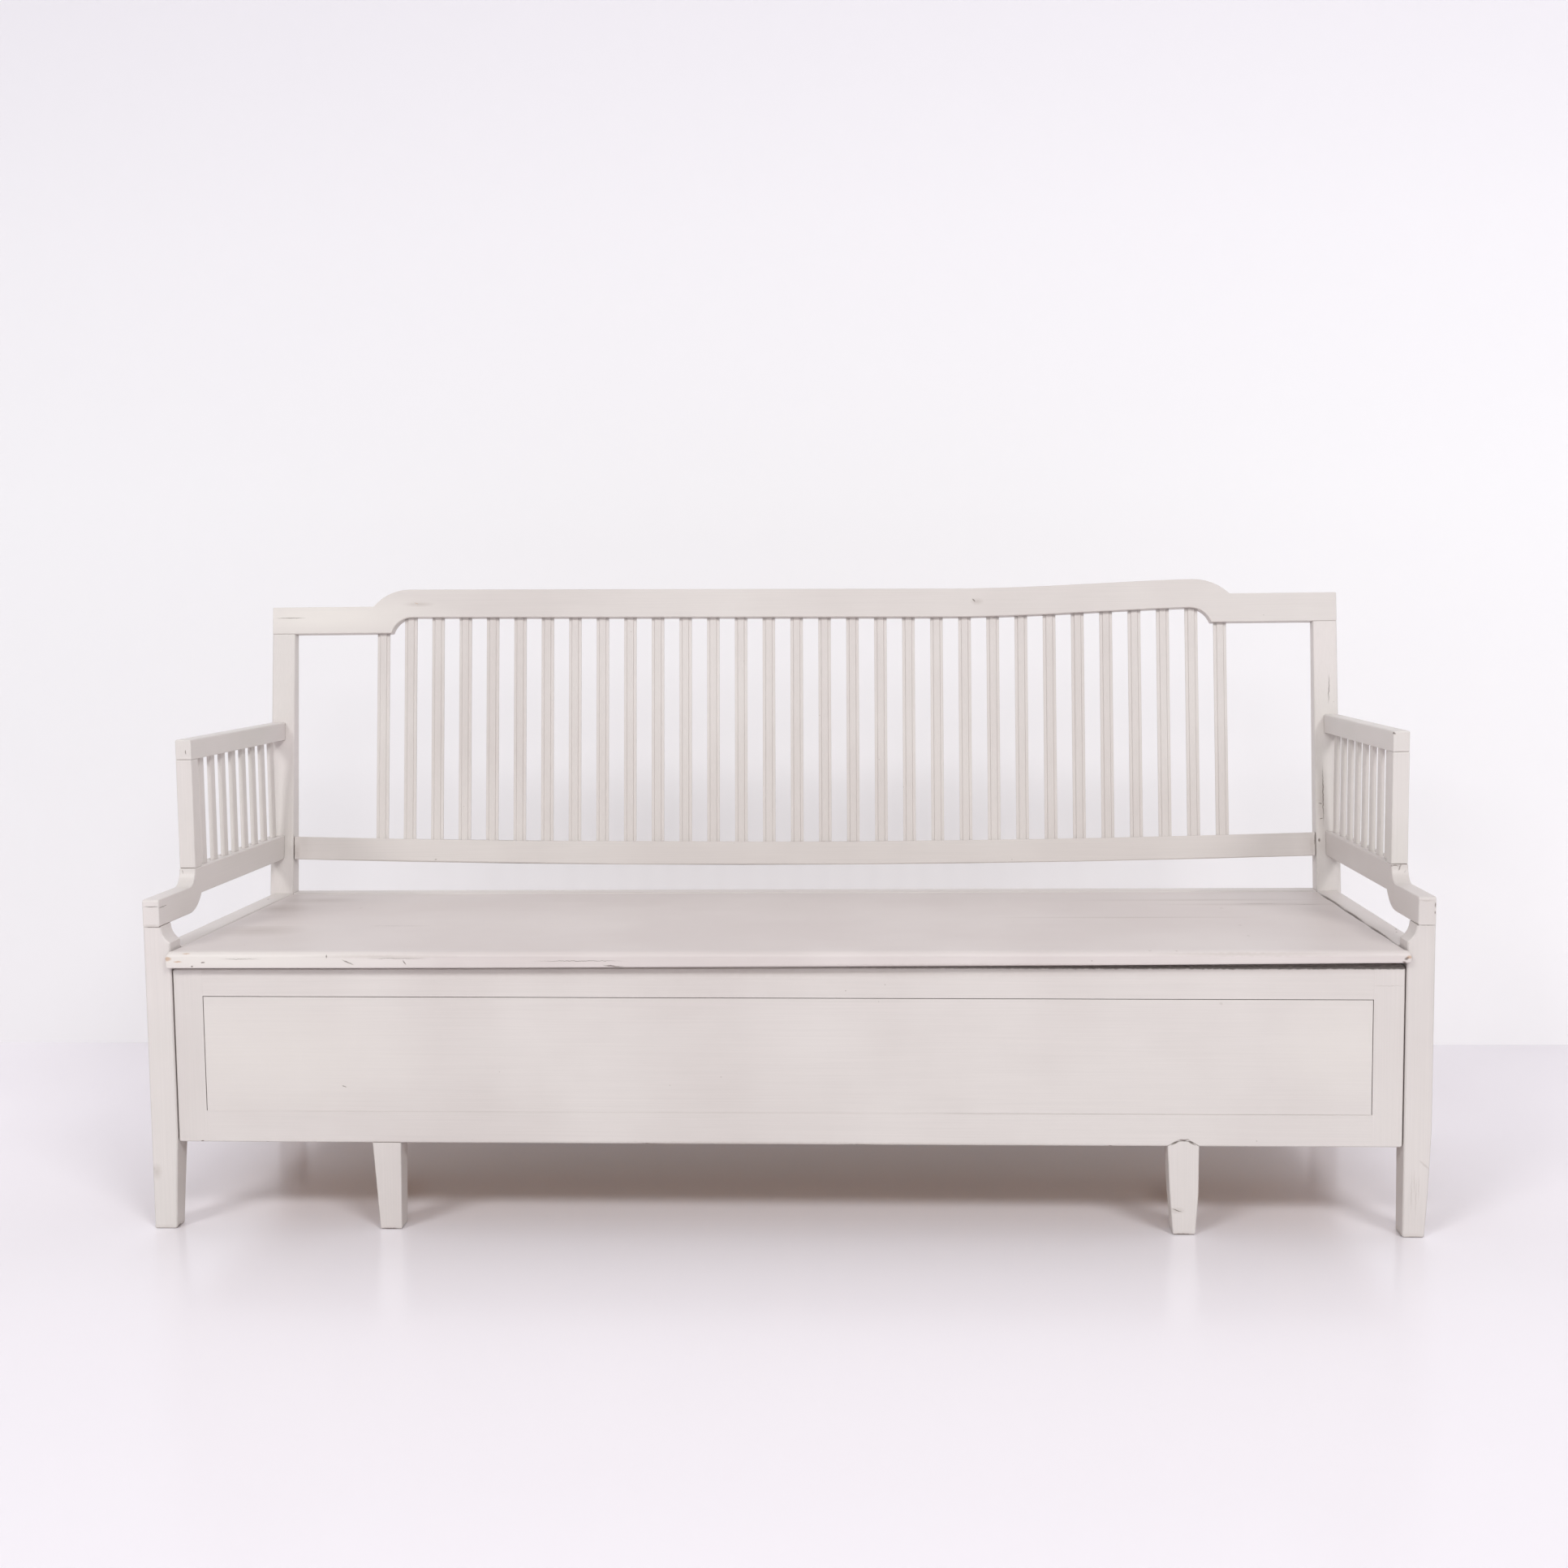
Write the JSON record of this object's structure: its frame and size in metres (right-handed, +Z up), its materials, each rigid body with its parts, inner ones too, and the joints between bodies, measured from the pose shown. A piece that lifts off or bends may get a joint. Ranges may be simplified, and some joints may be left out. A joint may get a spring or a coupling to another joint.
{
  "type": "pull-out bench bed",
  "caption": "Painted wooden bench with slatted back and arms, a lift-up seat lid and a deep drawer on legs that pulls forward to make a bed.",
  "frame": {"origin": "centre of the overall box at floor level", "axes": "+X to the right of someone facing the bench, +Y towards the back, +Z up"},
  "size_m": [1.95, 0.7172, 0.9962],
  "materials": {
    "painted_pine": "satin paint brushed on pine",
    "bare_pine": "planed pine, unpainted",
    "steel": "dull steel"
  },
  "bodies": {
    "bench_frame": {"arm_low_rail_left": "painted_pine", "arm_low_rail_right": "painted_pine", "arm_slats_left": "painted_pine", "arm_slats_right": "painted_pine", "arm_stile_left": "painted_pine", "arm_stile_right": "painted_pine", "arm_top_rail_left": "painted_pine", "arm_top_rail_right": "painted_pine", "back_middle_rail": "painted_pine", "back_slats": "painted_pine", "crest_rail": "painted_pine", "drawer_runner_left": "bare_pine", "drawer_runner_right": "bare_pine", "frame_stops": "bare_pine", "front_post_left": "painted_pine", "front_post_right": "painted_pine", "rear_boards": "bare_pine", "rear_bottom_rail": "bare_pine", "rear_post_left": "painted_pine", "rear_post_right": "painted_pine", "rear_seat_rail": "painted_pine", "runner_screws": "steel", "side_board_left": "painted_pine", "side_board_right": "painted_pine", "side_rail_left": "painted_pine", "side_rail_right": "painted_pine"},
    "seat_lid": {"lid_battens": "bare_pine", "lid_board_front": "painted_pine", "lid_board_middle": "painted_pine", "lid_board_rear": "painted_pine", "lid_pivot_pins": "steel"},
    "bed_drawer": {"drawer_back": "bare_pine", "drawer_bearers": "bare_pine", "drawer_bottom_boards": "bare_pine", "drawer_bottom_rail": "painted_pine", "drawer_catches": "bare_pine", "drawer_leg_left": "painted_pine", "drawer_leg_right": "painted_pine", "drawer_panel": "painted_pine", "drawer_side_left": "bare_pine", "drawer_side_right": "bare_pine", "drawer_stile_left": "painted_pine", "drawer_stile_right": "painted_pine", "drawer_top_rail": "painted_pine"}
  },
  "joints": [
    {"name": "lid_hinge", "type": "hinge", "parent": "bench_frame", "child": "seat_lid", "pos_m": [0, 0.24289, 0.424], "axis": [-1, 0, 0], "range_deg": [0, 97.5]},
    {"name": "drawer_slide", "type": "slide", "parent": "bench_frame", "child": "bed_drawer", "axis": [0, -1, 0], "range_m": [0, 0.5]}
  ]
}
